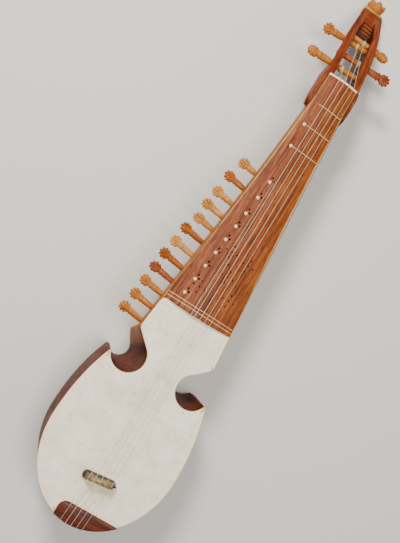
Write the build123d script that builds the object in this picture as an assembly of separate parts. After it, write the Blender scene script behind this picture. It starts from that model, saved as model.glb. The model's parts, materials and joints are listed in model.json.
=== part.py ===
from build123d import *
import math
import os

os.makedirs("parts", exist_ok=True)

# A rubab: a waisted bowl under a stretched skin, a hollow neck with a row of side pegs,
# and a bent-back pegbox with four main pegs.
# X runs across, Y runs towards the head and Z points up out of the face.
# The origin is the middle of the flat on the bowl's back. Lengths are in millimetres.
# A "from the nut" station runs along the axis from the nut towards the tail.

# Bowl
body_half_width = 107.0
body_depth = 122.0
body_wall = 6.5
back_wall = 8.0
back_flat_radius = 40.0
back_rounding = 36.0
shoulder_length = 205.0
tail_length = 128.0
tail_block = 20.0
widest_from_nut = 660.0

# Waist cut-outs, at the face and at the back
waist_from_nut = 529.5
waist_centre_x = 57.5
waist_radius = 27.5
waist_turn_deg = 130.0
shoulder_tip_from_nut = 484.5
back_waist_from_nut = 531.0
back_waist_centre_x = 62.0
back_waist_radius = 16.0
back_waist_turn_deg = 147.0
back_shoulder_tip_from_nut = 498.0
barb_turn_deg = -20.0
joint_from_nut = 502.0
joint_slant_deg = 9.5

# Neck
nut_half_width = 26.0
neck_flare_at_nut = 0.04
neck_flare_at_body = 0.10
neck_bend_from_nut = 270.0
neck_depth_at_nut = 40.0
neck_depth_slope = 0.06
neck_depth_curve = 0.00004
neck_chine = 4.0
neck_wall = 6.5
neck_floor = 9.0
neck_head_from_nut = 62.0
neck_hollow_from_nut = 168.0
neck_runs_to = 560.0
neck_meets_bowl = 520.0

# Fingerboard and what is let into it
board_from_nut = 429.4
board_edge_height = 3.0
board_crown_at_nut = 4.0
board_crown_at_body = 6.0
board_end_bow = 2.0
edge_strip_width = 2.0
inlay_width = 1.0
inlay_depth = 1.2
inlays_from_nut = (417.0, 422.5)
stud_radius = 2.3
stud_height = 1.2
stud_depth = 2.0
string_hole_radius = 1.7
sound_hole_radius = 1.3
string_hole_offsets = ((5.0, -3.0), (1.5, -8.0))
lone_sound_holes = ((-11.0, 266.0), (-6.0, 221.0), (21.0, 293.0), (-5.0, 286.0), (-3.0, 336.0))
dot_crosses = ((-23.0, 388.0), (27.0, 383.0), (-8.5, 317.0), (25.0, 322.0), (6.0, 353.0))
dot_arm = 9.5
fret_width = 1.2
fret_height = 0.8
frets_from_nut = (50.0, 89.0, 129.0)
fret_stud_x = -18.5

# Nut
nut_thickness = 3.6
nut_rise = 1.3
nut_round = 1.5
nut_shelf = 0.9

# Skin and tail
skin_thickness = 1.0
skin_from_nut = 429.7
skin_corner = 9.0
tailpiece_from_nut = 760.0
tailpiece_left = -27.0
tailpiece_corner = 13.0
tailpiece_thickness = 3.6
tailpiece_lip = 1.0
tailpiece_round = 2.0
seat_gap = 0.3
tail_pin_radius = 1.9
tail_pin_reach = 5.0
tail_pin_depth = 7.0
tail_pin_below_face = 10.0

# Bridge
bridge_from_nut = 710.0
bridge_length = 50.0
bridge_height = 20.0
bridge_foot = 9.0
bridge_crest = 3.6
bridge_slant_deg = 6.0
bridge_shoulder = 5.0
bridge_bow = 1.5
bridge_ankle = 4.0
bridge_hip = 7.0
bridge_hip_inset = 2.0
bridge_foot_length = 11.0
bridge_arch = 8.0
bridge_windows_x = (-9.0, 0.0, 9.0)
bridge_window_radius = 1.8
bridge_window_drop = 6.0

# Strings, from the left: diameter, the main peg each goes to, and where it is wound on it
string_pitch = 9.0
string_centre_x = 4.5
string_diameters = (1.0, 0.9, 0.8, 0.7)
drone_diameter = 0.7
drone_bend = 1.5
bridge_bend = 20.0
string_lift = 0.1
string_seat = 0.35
string_pegs = (0, 2, 3, 1)
winding_places_x = (-9.0, -2.0, 6.0, 13.0)

# Pegbox
cheek_half_width = 31.5
cheek_from_nut = 57.5
cheek_below_face = 3.0
box_half_width = 30.0
box_end_half_width = 18.0
box_straight_to = 50.0
box_wall = 11.0
slot_start = 9.0
slot_end = 116.0
pocket_end = 150.0
pocket_half_width = 9.0

# Points of the pegbox's side view: distance past the nut, and depth under the face
head_edge = ((4.5, 3.0), (85.0, 38.0), (168.0, 88.0))
head_back = ((168.0, 119.0), (76.0, 77.0), (-5.0, 46.0))
cheek_back = ((-5.0, 46.0), (-38.0, 37.0), (-57.5, 18.0))
head_end = head_edge[2][0]

# Finial
cap_overhang = 1.5
cap_corner = 8.0
cap_thickness = 4.0
bud_radius = 15.0
bud_height = 21.0
bud_rise = 4.0
bud_petals = 6

# Main pegs: distance past the nut, side, and how far the head's end stands off the wall
main_peg_places = ((28.5, -1, 44.0), (60.0, 1, 45.0), (85.5, -1, 38.5), (100.0, 1, 29.0))
main_peg_tilts_deg = (2.6, 3.7, 3.3, 0.6)
main_peg_radius = 4.8
main_pegs_below_edge = (13.0, 13.0, 14.0, 11.0)
main_peg_head_radius = 9.4
main_peg_head_length = 20.0
main_peg_head_thickness = 10.0

# Side pegs: pitch along the wall, and how much further than the rest each is pushed in
side_peg_count = 12
side_peg_last_from_nut = 477.3
side_peg_pitch = 25.2
side_peg_wide_pitch = 30.3
side_peg_wide_count = 2
side_peg_radius = 4.1
side_peg_below_face = 22.0
side_peg_tilt_deg = 8.0
side_peg_stand = 43.5
side_peg_inside = 20.0
side_peg_push = (10.0, 4.0, 4.0, 3.0, 6.0, 0.0, 0.0, -2.0, -1.0, 0.0, 0.5, -0.5)
side_peg_head_radius = 8.7
side_peg_head_length = 18.5
side_peg_head_thickness = 9.5
stud_pegs = 9
stud_inset = 21.0
stud_behind_peg = 5.0

# Carved heads: the petals' pitch round the end, and the collar under the head
petal_pitch_deg = 40.0
peg_collar = 3.0

# Fit of every peg in its hole, and of a peg's winding to its string
peg_clearance = 0.05
winding_turns = 3
winding_gap = 0.45
winding_seat = 0.05

face_z = body_depth


def station(from_nut):
    return widest_from_nut - from_nut


def neck_half_width(from_nut):
    # The sides flare slowly at the nut, faster towards the body, and straight past the bend.
    bend = neck_bend_from_nut
    flare = neck_flare_at_body - neck_flare_at_nut
    curved = min(from_nut, bend)
    width = nut_half_width + neck_flare_at_nut * curved + flare * curved**2 / (2 * bend)
    return width + neck_flare_at_body * max(0.0, from_nut - bend)


def neck_depth(from_nut):
    return neck_depth_at_nut + neck_depth_slope * from_nut + neck_depth_curve * from_nut**2


def board_crown(from_nut):
    share = from_nut / board_from_nut
    return board_crown_at_nut + (board_crown_at_body - board_crown_at_nut) * share


def board_form_half(from_nut):
    # The board's surface is ruled from end to end, so its half width grows evenly.
    share = from_nut / board_from_nut
    return nut_half_width + 0.5 + (neck_half_width(board_from_nut) - nut_half_width) * share


def board_top(x, from_nut):
    # Height of the fingerboard's surface over the face, from the circle through crown and edges.
    half = board_form_half(from_nut)
    crown = board_crown(from_nut)
    radius = (half**2 + crown**2) / (2 * crown)
    return board_edge_height + crown - radius + math.sqrt(radius**2 - x**2)


def across(from_nut, z=0.0):
    # A plane across the instrument, with its own x along X and its own y along Z.
    return Plane(origin=(0, station(from_nut), z), x_dir=(1, 0, 0), z_dir=(0, -1, 0))


def both_sides(right):
    return right + mirror(right, about=Plane.YZ)


def slab(near, far, bottom=-50.0, top=250.0):
    # Everything between two stations.
    box = Box(400, far - near, top - bottom, align=(Align.CENTER, Align.MAX, Align.MIN))
    return Pos(0, station(near), bottom) * box


# Bowl and neck

def bowl_half(half_width, length, floor):
    # A half bowl, turned as a round one and stretched along Y to its length.
    rounding = back_rounding - floor
    outline = Line((0, floor), (back_flat_radius, floor))
    outline += EllipticalCenterArc((back_flat_radius, back_rounding),
                                   half_width - back_flat_radius, rounding, 270, arc_size=90)
    outline += Polyline((half_width, back_rounding), (half_width, face_z), (0, face_z), (0, floor))
    half = revolve(Plane.XZ * make_face(outline), Axis.Z, 180)
    return scale(half, by=(1, length / half_width, 1))


def bowl_form(inset, floor):
    shoulder = bowl_half(body_half_width - inset, shoulder_length - inset, floor)
    tail = Rot(0, 0, 180) * bowl_half(body_half_width - inset, tail_length - inset, floor)
    return shoulder + tail


def neck_plan(inset, far=neck_runs_to):
    # The neck's outline from the front: an arc from the nut to the bend, then straight.
    bend = neck_bend_from_nut
    right = [(neck_half_width(s) - inset, station(s)) for s in (0, bend / 2, bend, far)]
    left = [(-x, y) for x, y in right]
    outline = ThreePointArc(right[0], right[1], right[2]) + Line(right[2], right[3])
    outline += Line(right[3], left[3]) + Line(left[3], left[2])
    outline += ThreePointArc(left[2], left[1], left[0]) + Line(left[0], right[0])
    return make_face(outline)


def neck_form(inset, floor, stations=(0.0, 160.0, 340.0, neck_meets_bowl)):
    # Straight side walls over a rounded back.
    sections = []
    for from_nut in stations:
        half = neck_half_width(from_nut) + neck_chine - inset
        depth = neck_depth(from_nut) - floor
        arc = EllipticalCenterArc((0, 0), half, depth, 180, arc_size=180)
        sections.append(across(from_nut, face_z) * make_face(arc + Line((-half, 0), (half, 0))))
    return loft(sections, ruled=len(stations) == 2) & extrude(neck_plan(inset), face_z)


def waist_face(centre_x, centre, radius, turn, tip_x, tip, wall):
    # One waist cut-out: round inside, straight up to the shoulder tip, open at the side.
    middle = (centre_x, station(centre))
    reach = radius + wall
    arc = CenterArc(middle, reach, turn, 360 + barb_turn_deg - turn)
    corner = (tip_x, station(tip - 1.4 * wall))
    outer = body_half_width + 20
    line = Polyline(arc @ 1, (outer, station(centre + wall)), (outer, corner[1]), corner, arc @ 0)
    return make_face(arc + line)


def waist_cutter(wall):
    tip_x = neck_half_width(shoulder_tip_from_nut)
    front = waist_face(waist_centre_x, waist_from_nut, waist_radius, waist_turn_deg,
                       tip_x, shoulder_tip_from_nut, wall)
    back = waist_face(back_waist_centre_x, back_waist_from_nut, back_waist_radius,
                      back_waist_turn_deg, tip_x, back_shoulder_tip_from_nut, wall)
    right = loft([Pos(0, 0, -1) * back, Pos(0, 0, face_z + 1) * front], ruled=True)
    return both_sides(right)


def joint_plane():
    # The slanted joint between the neck's wood and the bowl's.
    slant = math.radians(joint_slant_deg)
    normal = (0, math.cos(slant), -math.sin(slant))
    return Plane(origin=(0, station(joint_from_nut), face_z), x_dir=(1, 0, 0), z_dir=normal)


def hollow_form():
    # The one air space that runs through the bowl, the waist and the neck.
    bowl = bowl_form(body_wall, back_wall) & slab(0, widest_from_nut + tail_length - tail_block)
    neck = neck_form(neck_wall, neck_floor, (0.0, neck_meets_bowl))
    neck &= slab(neck_hollow_from_nut, neck_runs_to)
    return bowl + neck - waist_cutter(body_wall)


def body_form():
    solid = bowl_form(0, 0) + (neck_form(0, 0) & slab(0, neck_runs_to))
    return solid - waist_cutter(0)


# Pegs

def lobed_head(radius, length, thickness):
    # A flat carved head, standing on +X from the origin: petals with cut corners round its end.
    middle = length - radius
    points = [(0, -radius * 0.45)]
    for petal in range(-3, 4):
        for share, reach in ((-0.5, 0.74), (-0.28, 1.0), (0.28, 1.0)):
            turn = math.radians((petal + share) * petal_pitch_deg)
            points.append((middle + reach * radius * math.cos(turn), reach * radius * math.sin(turn)))
    points += [(points[1][0], -points[1][1]), (0, radius * 0.45)]
    return extrude(make_face(Polyline(points, close=True)), thickness / 2, both=True)


def peg(radius, inside, stand, head_radius, head_length, thickness):
    # Along +X, with the wall's outer face at the origin and the head's end at the stand-off.
    neck_end = stand - head_length
    shaft = Pos(-inside, 0, 0) * Rot(0, 90, 0) * Cylinder(
        radius, inside + neck_end - peg_collar, align=(Align.CENTER, Align.CENTER, Align.MIN))
    collar = Plane.YZ * RegularPolygon(radius * 1.3, 8)
    head = lobed_head(head_radius, head_length, thickness)
    collar = Pos(neck_end - peg_collar, 0, 0) * extrude(collar, peg_collar)
    return shaft + collar + Pos(neck_end, 0, 0) * head


def side_peg_stations():
    stations = []
    from_nut = side_peg_last_from_nut
    for index in range(side_peg_count):
        stations.append(from_nut)
        wide = index >= side_peg_count - 1 - side_peg_wide_count
        from_nut -= side_peg_wide_pitch if wide else side_peg_pitch
    return stations[::-1]


def side_peg_frame(from_nut):
    # Origin on the left wall's outer face, local X out along the peg.
    turn = 180 - side_peg_tilt_deg
    place = (-neck_half_width(from_nut), station(from_nut), face_z - side_peg_below_face)
    return Location(place, (0, 0, turn))


# Pegbox

def head_point(past_nut, drop):
    return (station(-past_nut), face_z - drop)


def box_half_width_at(past_nut):
    # Straight beside the nut, then drawn in towards the head.
    share = max(0.0, past_nut - box_straight_to) / (head_end - box_straight_to)
    return box_half_width - (box_half_width - box_end_half_width) * share**2


def edge_arc():
    return ThreePointArc(*[head_point(*p) for p in head_edge])


def edge_drop(past_nut):
    # Depth of the pegbox's curved top edge under the face.
    arc = edge_arc()
    low, high = 0.0, 1.0
    for _ in range(30):
        middle = (low + high) / 2
        if (arc @ middle).X < station(-past_nut):
            low = middle
        else:
            high = middle
    return face_z - (arc @ low).Y


def head_side():
    # Side view: cheeks along the neck, then the box bent down and back.
    arc = edge_arc()
    start = head_point(-cheek_from_nut, 2 * cheek_below_face)
    outline = Polyline(start, head_point(-cheek_from_nut + 8, cheek_below_face), arc @ 0)
    outline += arc + Line(arc @ 1, head_point(*head_back[0]))
    outline += ThreePointArc(*[head_point(*p) for p in head_back])
    outline += ThreePointArc(*[head_point(*p) for p in cheek_back])
    outline += Line(head_point(*cheek_back[2]), start)
    return extrude(Plane.YZ * make_face(outline), 60, both=True)


def head_plan(inset, near, far_end):
    # Front view of the pegbox's outside, from the rounded cheeks to the drawn-in end.
    cheek = cheek_half_width - inset
    tip = neck_half_width(cheek_from_nut) - 2
    half_way = (box_straight_to + far_end) / 2
    side = [(cheek, station(cheek_from_nut - 10)),
            (box_half_width_at(box_straight_to) - inset, station(-box_straight_to)),
            (box_half_width_at(half_way) - inset, station(-half_way)),
            (box_end_half_width, station(-far_end))]
    round_end = ThreePointArc((tip, station(near)), (cheek - 2, station(near - 4)), side[0])
    right = round_end + Line(side[0], side[1]) + ThreePointArc(side[1], side[2], side[3])
    outline = right + mirror(right, about=Plane.YZ)
    outline += Line((-side[3][0], side[3][1]), side[3])
    outline += Line((-tip, station(near)), (tip, station(near)))
    return extrude(make_face(outline), body_depth + 10)


def box_openings():
    # The slot that the strings go down through, and the pocket cut above it.
    near = box_half_width_at(slot_start) - box_wall
    far = box_half_width_at(slot_end) - box_wall
    slot = Polyline((near, station(-slot_start)), (far, station(-slot_end)),
                    (-far, station(-slot_end)), (-near, station(-slot_start)), close=True)
    through = extrude(make_face(slot), body_depth + 10)
    pocket = Polyline((far, station(-slot_end + 1)), (pocket_half_width, station(-pocket_end)),
                      (-pocket_half_width, station(-pocket_end)), (-far, station(-slot_end + 1)),
                      close=True)
    floor = face_z - edge_drop(pocket_end)
    return through + Pos(0, 0, floor) * extrude(make_face(pocket), body_depth)


def main_peg_frame(index):
    # Origin on the wall's outer face, local X out along the peg.
    past_nut, side, _ = main_peg_places[index]
    turn = main_peg_tilts_deg[index] + (0 if side > 0 else 180)
    height = face_z - edge_drop(past_nut) - main_pegs_below_edge[index]
    return Location((side * box_half_width_at(past_nut), station(-past_nut), height), (0, 0, turn))


def pegbox_form(body):
    block = body & slab(0, neck_head_from_nut)
    box = head_side() & head_plan(0, cheek_from_nut, head_end)
    behind = slab(-nut_thickness - nut_shelf, 0, face_z, face_z + 10)
    return block + box - box_openings() - behind


# Fingerboard

def board_form(extra=0.0, far=board_from_nut):
    # The convex board, or the same surface raised by a little.
    sections = []
    for from_nut in (0.0, far):
        half = board_form_half(from_nut)
        edge = board_edge_height + extra
        arc = ThreePointArc((-half, edge), (0, edge + board_crown(from_nut)), (half, edge))
        outline = arc + Polyline((half, edge), (half, 0), (-half, 0), (-half, edge))
        sections.append(across(from_nut, face_z) * make_face(outline))
    return loft(sections, ruled=True)


def board_plan(inset):
    # The board's outline, with its lower end bowed like the skin's edge.
    return Pos(0, 0, face_z) * extrude(neck_plan(inset, board_from_nut), 30) - end_bow(board_from_nut)


def end_bow(from_nut):
    # Everything past the shallow curve where the board and the skin meet.
    half = neck_half_width(from_nut)
    wide = body_half_width + 20
    top = station(from_nut) + board_end_bow
    bottom = station(widest_from_nut + tail_length + 20)
    arc = ThreePointArc((-half, top), (0, station(from_nut)), (half, top))
    outline = arc + Polyline((half, top), (wide, top), (wide, bottom), (-wide, bottom), (-wide, top),
                             (-half, top))
    return Pos(0, 0, face_z - 1) * extrude(make_face(outline), 60)


def stud_places():
    places = []
    for from_nut in side_peg_stations()[:stud_pegs]:
        places.append((-neck_half_width(from_nut) + stud_inset, from_nut + stud_behind_peg))
    return places


def fret_stud_places():
    return [(fret_stud_x, from_nut) for from_nut in frets_from_nut[1:]]


def pin_at(x, from_nut, radius, bottom, top):
    pin = extrude(RegularPolygon(radius, 8), top - bottom)
    return Pos(x, station(from_nut), face_z + bottom) * pin


def stud_solids():
    studs = []
    for x, from_nut in stud_places() + fret_stud_places():
        top = board_top(x, from_nut)
        studs.append(pin_at(x, from_nut, stud_radius, top - stud_depth, top + stud_height))
    return studs


def string_hole_places():
    # Two holes beside each stud, on its inner side and towards the head.
    places = []
    for x, from_nut in stud_places():
        places += [(x + aside, from_nut + along) for aside, along in string_hole_offsets]
    return places


def sound_hole_places():
    # Crosses of five dots, and a few single dots between them.
    places = list(lone_sound_holes)
    for x, from_nut in dot_crosses:
        places += [(x, from_nut), (x - dot_arm, from_nut), (x + dot_arm, from_nut)]
        places += [(x, from_nut - dot_arm), (x, from_nut + dot_arm)]
    return places


def hole_cutters():
    cutters = [pin_at(x, s, string_hole_radius, -1, 20) for x, s in string_hole_places()]
    cutters += [pin_at(x, s, sound_hole_radius, -1, 20) for x, s in sound_hole_places()]
    return cutters


def inlay_form(from_nut):
    skin_of_board = board_form() - board_form(-inlay_depth)
    return skin_of_board & slab(from_nut - inlay_width / 2, from_nut + inlay_width / 2)


# Skin, tail and bridge

def tailpiece_plan(grow):
    # Straight over the strings, rounded at its left end, running out into the rim at its right.
    left = tailpiece_left - grow
    y = station(tailpiece_from_nut) + grow
    corner = tailpiece_corner
    arc = ThreePointArc((left, y - corner), (left + corner * 0.29, y - corner * 0.29), (left + corner, y))
    far = body_half_width
    outline = arc + Polyline((left + corner, y), (far, y), (far, y - 60), (left, y - 60),
                             (left, y - corner))
    return make_face(outline)


def tail_rim(grow):
    width = body_half_width + grow
    return Ellipse(width, tail_length + grow)


def string_x(index, from_nut):
    # Strings 0 to 3 start at the nut; the drone, -1, keeps the same pitch beside them.
    start = string_centre_x + (index - 1.5) * string_pitch
    shift = string_pitch / 2
    return start + shift * from_nut / (widest_from_nut + tail_length)


def tail_string_x(index):
    return string_x(index, widest_from_nut + tail_length)


def tail_end(x):
    # Station of the bowl's end wall at x.
    return widest_from_nut + tail_length * math.sqrt(1 - (x / body_half_width)**2)


def tail_pin(index):
    x = tail_string_x(index)
    length = tail_pin_depth + tail_pin_reach
    pin = extrude(Plane.XZ * RegularPolygon(tail_pin_radius, 8), length / 2, both=True)
    y = station(tail_end(x)) - tail_pin_reach + length / 2
    return Pos(x, y, face_z - tail_pin_below_face) * pin


def bridge_form():
    # Two feet and a low arch, with a convex crest and three small windows.
    half = bridge_length / 2
    top = bridge_height
    crest = half - bridge_shoulder
    hip = half - bridge_hip_inset
    arch = half - bridge_foot_length
    outline = Polyline((-arch, 0), (-half, 0), (-half, bridge_ankle), (-hip, bridge_hip),
                       (-crest, top - bridge_bow))
    outline += ThreePointArc((-crest, top - bridge_bow), (0, top), (crest, top - bridge_bow))
    outline += Polyline((crest, top - bridge_bow), (hip, bridge_hip), (half, bridge_ankle), (half, 0),
                        (arch, 0))
    outline += ThreePointArc((arch, 0), (0, bridge_arch), (-arch, 0))
    front = extrude(Plane.XZ * make_face(outline), bridge_foot, both=True)
    foot = bridge_foot / 2
    crest_half = bridge_crest / 2
    side = Polyline((-foot, 0), (-foot, 3), (-crest_half, top + 1), (crest_half, top + 1), (foot, 3),
                    (foot, 0), close=True)
    solid = front & extrude(Plane.YZ * make_face(side), bridge_length, both=True)
    for x in bridge_windows_x:
        window = Cylinder(bridge_window_radius, 3 * bridge_foot, rotation=(90, 0, 0))
        solid -= Pos(x, 0, top - bridge_window_drop) * window
    place = Pos(string_centre_x, station(bridge_from_nut), face_z + skin_thickness)
    return place * Rot(0, 0, bridge_slant_deg) * solid


# Strings

def fillet_path(points, radii):
    return FilletPolyline(*points, radius=radii)


def round_string(points, radii, diameter):
    path = fillet_path(points, radii)
    section = Plane(origin=path @ 0, z_dir=path % 0) * RegularPolygon(diameter / 2, 6)
    return sweep(section, path=path)


def nut_top(x):
    radius = (nut_half_width**2 + board_crown_at_nut**2) / (2 * board_crown_at_nut)
    return board_edge_height + nut_rise + board_crown_at_nut - radius + math.sqrt(radius**2 - x**2)


def bridge_crest_height(x):
    # Height over the face of the bridge's crest, from the circle through its middle and ends.
    half = bridge_length / 2 - bridge_shoulder
    radius = (half**2 + bridge_bow**2) / (2 * bridge_bow)
    offset = x - string_centre_x
    return skin_thickness + bridge_height - radius + math.sqrt(radius**2 - offset**2)


def over_bridge(index, radius):
    # The string's bend on the bridge, lifted so that it clears the crest's back edge too.
    x = string_x(index, bridge_from_nut)
    y = station(bridge_from_nut) + (x - string_centre_x) * math.tan(math.radians(bridge_slant_deg))
    height = bridge_crest_height(x)
    fall = (height - tailpiece_thickness) / (widest_from_nut + tail_length - bridge_from_nut)
    return (x, y, face_z + height + radius - string_seat + bridge_crest / 2 * fall)


def tail_run(index, radius):
    # From the pin, up over the tailpiece's rounded edge and on to the bridge.
    x = tail_string_x(index)
    rim = station(tail_end(x)) - tailpiece_lip - radius - string_lift
    pin_top = face_z - tail_pin_below_face + tail_pin_radius + seat_gap
    over = face_z + tailpiece_thickness + radius + string_lift
    return [(x, rim, pin_top), (x, rim, over), over_bridge(index, radius)]


def tail_bend(radius):
    return tailpiece_round + radius + string_lift


def winding_outer(index):
    return main_peg_radius + winding_seat + string_diameters[index]


def to_winding(index, y, z):
    # The end of a string that comes off the nut at y, z and meets the top of its winding.
    peg_index = string_pegs[index]
    past_nut, side, _ = main_peg_places[peg_index]
    tilt = math.tan(math.radians(main_peg_tilts_deg[peg_index]))
    run_in = box_half_width_at(past_nut) - side * winding_places_x[index]
    centre_y = station(-past_nut) - side * run_in * tilt
    centre_z = face_z - edge_drop(past_nut) - main_pegs_below_edge[peg_index]
    reach = winding_outer(index) + seat_gap + string_diameters[index] / 2
    away = math.hypot(y - centre_y, z - centre_z)
    angle = math.atan2(z - centre_z, y - centre_y) - math.acos(reach / away)
    return (winding_places_x[index], centre_y + reach * math.cos(angle), centre_z + reach * math.sin(angle))


def main_string(index, groove=0.0):
    # A groove is cut with the same path and a little more radius.
    radius = string_diameters[index] / 2
    x = string_x(index, 0)
    bend = nut_round + radius - string_seat
    height = face_z + nut_top(x) + radius - string_seat
    crest_y = station(-nut_thickness) - nut_round
    end = to_winding(index, crest_y, height)
    turn = math.atan2(height - end[2], end[1] - crest_y)
    over_nut = (x, crest_y + bend * math.tan(turn / 2), height)
    points = tail_run(index, radius) + [over_nut, end]
    return round_string(points, [tail_bend(radius), bridge_bend, bend], 2 * (radius + groove))


def drone_string(groove=0.0):
    # The long drone: up from the first side peg, out of its hole and down to the bridge.
    radius = drone_diameter / 2
    x, from_nut = string_hole_places()[0]
    shaft_top = face_z - side_peg_below_face + side_peg_radius + radius + seat_gap
    start = (x, station(from_nut + 1.0), shaft_top)
    mouth = (x, station(from_nut), face_z + board_top(x, from_nut) + radius + 0.9)
    points = tail_run(-1, radius) + [mouth, start]
    return round_string(points, [tail_bend(radius), bridge_bend, drone_bend], 2 * (radius + groove))


def biarc(start, start_dir, end, end_dir):
    # Two arcs that join two points with the given directions.
    span = end - start
    total = start_dir + end_dir
    a = 2 - 2 * start_dir.dot(end_dir)
    b = 2 * span.dot(total)
    c = -span.dot(span)
    reach = (-b + math.sqrt(b * b - 4 * a * c)) / (2 * a)
    joint = (start + start_dir * reach + end - end_dir * reach) * 0.5
    first = TangentArc(start, joint, tangent=start_dir)
    return first, TangentArc(joint, end, tangent=first % 1)


def helix_point(radius, pitch, turn):
    angle = 2 * math.pi * turn
    return Vector(pitch * turn, radius * math.cos(angle), radius * math.sin(angle))


def helix_direction(radius, pitch, turn):
    angle = 2 * math.pi * turn
    around = Vector(pitch, -2 * math.pi * radius * math.sin(angle), 2 * math.pi * radius * math.cos(angle))
    return around.normalized()


def winding(index):
    # The string wound round its peg, one unbroken tube.
    wire_radius = string_diameters[index] / 2
    radius = main_peg_radius + winding_seat + wire_radius
    pitch = 2 * wire_radius + winding_gap
    edges = []
    for half_turn in range(2 * winding_turns):
        near, far = half_turn / 2, (half_turn + 1) / 2
        edges += biarc(helix_point(radius, pitch, near), helix_direction(radius, pitch, near),
                       helix_point(radius, pitch, far), helix_direction(radius, pitch, far))
    path = Wire(edges)
    section = Plane(origin=path @ 0, z_dir=path % 0) * RegularPolygon(wire_radius, 4)
    gap = least_gap(path, 2 * wire_radius)
    print(f"winding {index + 1}: least gap to itself {gap:.2f} mm")
    return sweep(section, path=path)


def least_gap(path, diameter):
    # Points a part of a turn apart along the tube don't count as its neighbours.
    count = winding_turns * 24
    points = [path @ (i / count) for i in range(count + 1)]
    far_pairs = [(points[i] - points[j]).length
                 for i in range(count + 1) for j in range(i + 12, count + 1)]
    return min(far_pairs) - diameter


def finial_cap():
    # A thin cap across the pegbox's end, wider than the end face on every side.
    width = 2 * (box_end_half_width + cap_overhang)
    outline = RectangleRounded(width, finial_height() + 2 * cap_overhang, cap_corner)
    return finial_plane() * extrude(outline, cap_thickness)


def finial_height():
    top, bottom = head_edge[2], head_back[0]
    return math.hypot(top[0] - bottom[0], top[1] - bottom[1])


def finial_plane():
    top = head_point(*head_edge[2])
    bottom = head_point(*head_back[0])
    middle = ((top[0] + bottom[0]) / 2, (top[1] + bottom[1]) / 2)
    up = Vector(0, top[0] - bottom[0], top[1] - bottom[1]).normalized()
    return Plane(origin=(0, middle[0], middle[1]), x_dir=(-1, 0, 0), z_dir=up.cross(Vector(1, 0, 0)))


def petal_ring(radius, height):
    # A ring of cut-cornered petals.
    points = []
    for index in range(bud_petals):
        for share, reach in ((-0.5, 0.8), (-0.22, 1.0), (0.22, 1.0)):
            turn = 2 * math.pi * (index + share) / bud_petals
            points.append((reach * radius * math.cos(turn), reach * radius * math.sin(turn)))
    return Pos(0, 0, height) * make_face(Polyline(points, close=True))


def finial_bud():
    # A squat carved bud that swells from its foot and closes at its tip.
    rings = [petal_ring(share * bud_radius, level * bud_height)
             for share, level in ((0.75, 0.0), (1.0, 0.35), (0.8, 0.75), (0.3, 1.0))]
    return finial_plane() * Pos(0, bud_rise, cap_thickness) * loft(rings, ruled=True)


def save(node, solids):
    shape = Compound(children=list(solids)) if isinstance(solids, list) else solids
    export_step(shape, f"parts/{node}.step")


# The whole instrument

def peg_hole(frame, radius, depth):
    return frame * Pos(3, 0, 0) * Rot(0, -90, 0) * Cylinder(radius + peg_clearance, depth + 3,
                                                           align=(Align.CENTER, Align.CENTER, Align.MIN))


def side_peg_frames():
    return [side_peg_frame(from_nut) for from_nut in side_peg_stations()]


def pegs_across(index):
    # How far a main peg reaches in from its own wall's face, just past the other wall.
    past_nut, side, _ = main_peg_places[index]
    return 2 * box_half_width_at(past_nut) / math.cos(math.radians(main_peg_tilts_deg[index])) + 1.5


def build_woodwork():
    body = body_form()
    shell = body - hollow_form()
    for frame in side_peg_frames():
        shell -= peg_hole(frame, side_peg_radius, 3 * neck_wall)
    pins = [tail_pin(index) for index in range(-1, 4)]
    lower = split(shell, bisect_by=joint_plane(), keep=Keep.BOTTOM)
    upper = split(shell, bisect_by=joint_plane(), keep=Keep.TOP) & slab(neck_head_from_nut, neck_runs_to)
    for pin in pins:
        lower -= pin
    head = pegbox_form(body)
    for index in range(len(main_peg_places)):
        head -= peg_hole(main_peg_frame(index), main_peg_radius, pegs_across(index) + 6)
    return {"bowl": lower, "neck": upper, "pegbox": head, "tail_pins": pins,
            "skin": skin_form(body), "tailpiece": tailpiece_form()}


def skin_form(body):
    cover = Box(400, 1200, skin_thickness, align=(Align.CENTER, Align.CENTER, Align.MIN))
    rim = Pos(0, 0, skin_thickness) * (body & Pos(0, 0, face_z - skin_thickness) * cover)
    half = neck_half_width(skin_from_nut)
    top = station(skin_from_nut) + board_end_bow
    corner = Pos(-half, top, face_z) * Box(2 * skin_corner, 2 * skin_corner, 10)
    round_part = Pos(-half + skin_corner, top - skin_corner, face_z) * Cylinder(skin_corner, 12)
    skin = rim & end_bow(skin_from_nut)
    skin -= corner - round_part
    return skin - Pos(0, 0, face_z) * extrude(tailpiece_plan(seat_gap), 10)


def tailpiece_form():
    plan = extrude(tail_rim(tailpiece_lip) & tailpiece_plan(0), tailpiece_thickness)
    rim = plan.edges().filter_by(GeomType.ELLIPSE).sort_by(Axis.Z)[-1]
    return Pos(0, 0, face_z) * fillet(rim, tailpiece_round)


def build_board():
    form = board_form()
    inner = board_plan(edge_strip_width)
    strips = (form & (board_plan(0) - inner)).solids().sort_by(Axis.X)
    studs = stud_solids()
    inlays = [inlay_form(from_nut) & inner for from_nut in inlays_from_nut]
    board = form & inner
    for cutter in studs + hole_cutters() + inlays:
        board -= cutter
    raised = board_form(fret_height) - form
    nodes = {"fingerboard": board, "edge_strip_left": strips[0], "edge_strip_right": strips[-1],
             "string_studs": studs}
    for index, inlay in enumerate(inlays):
        nodes[f"board_inlay_{index + 1}"] = inlay
    right_of_stud = Pos(fret_stud_x + stud_radius + 0.2, 0, face_z) * Box(
        200, 2000, 60, align=(Align.MIN, Align.CENTER, Align.CENTER))
    for index, from_nut in enumerate(frets_from_nut):
        band = slab(from_nut - fret_width / 2, from_nut + fret_width / 2)
        nodes[f"fret_{index + 1}"] = raised & band & board_plan(edge_strip_width) & right_of_stud
    return nodes


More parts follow.
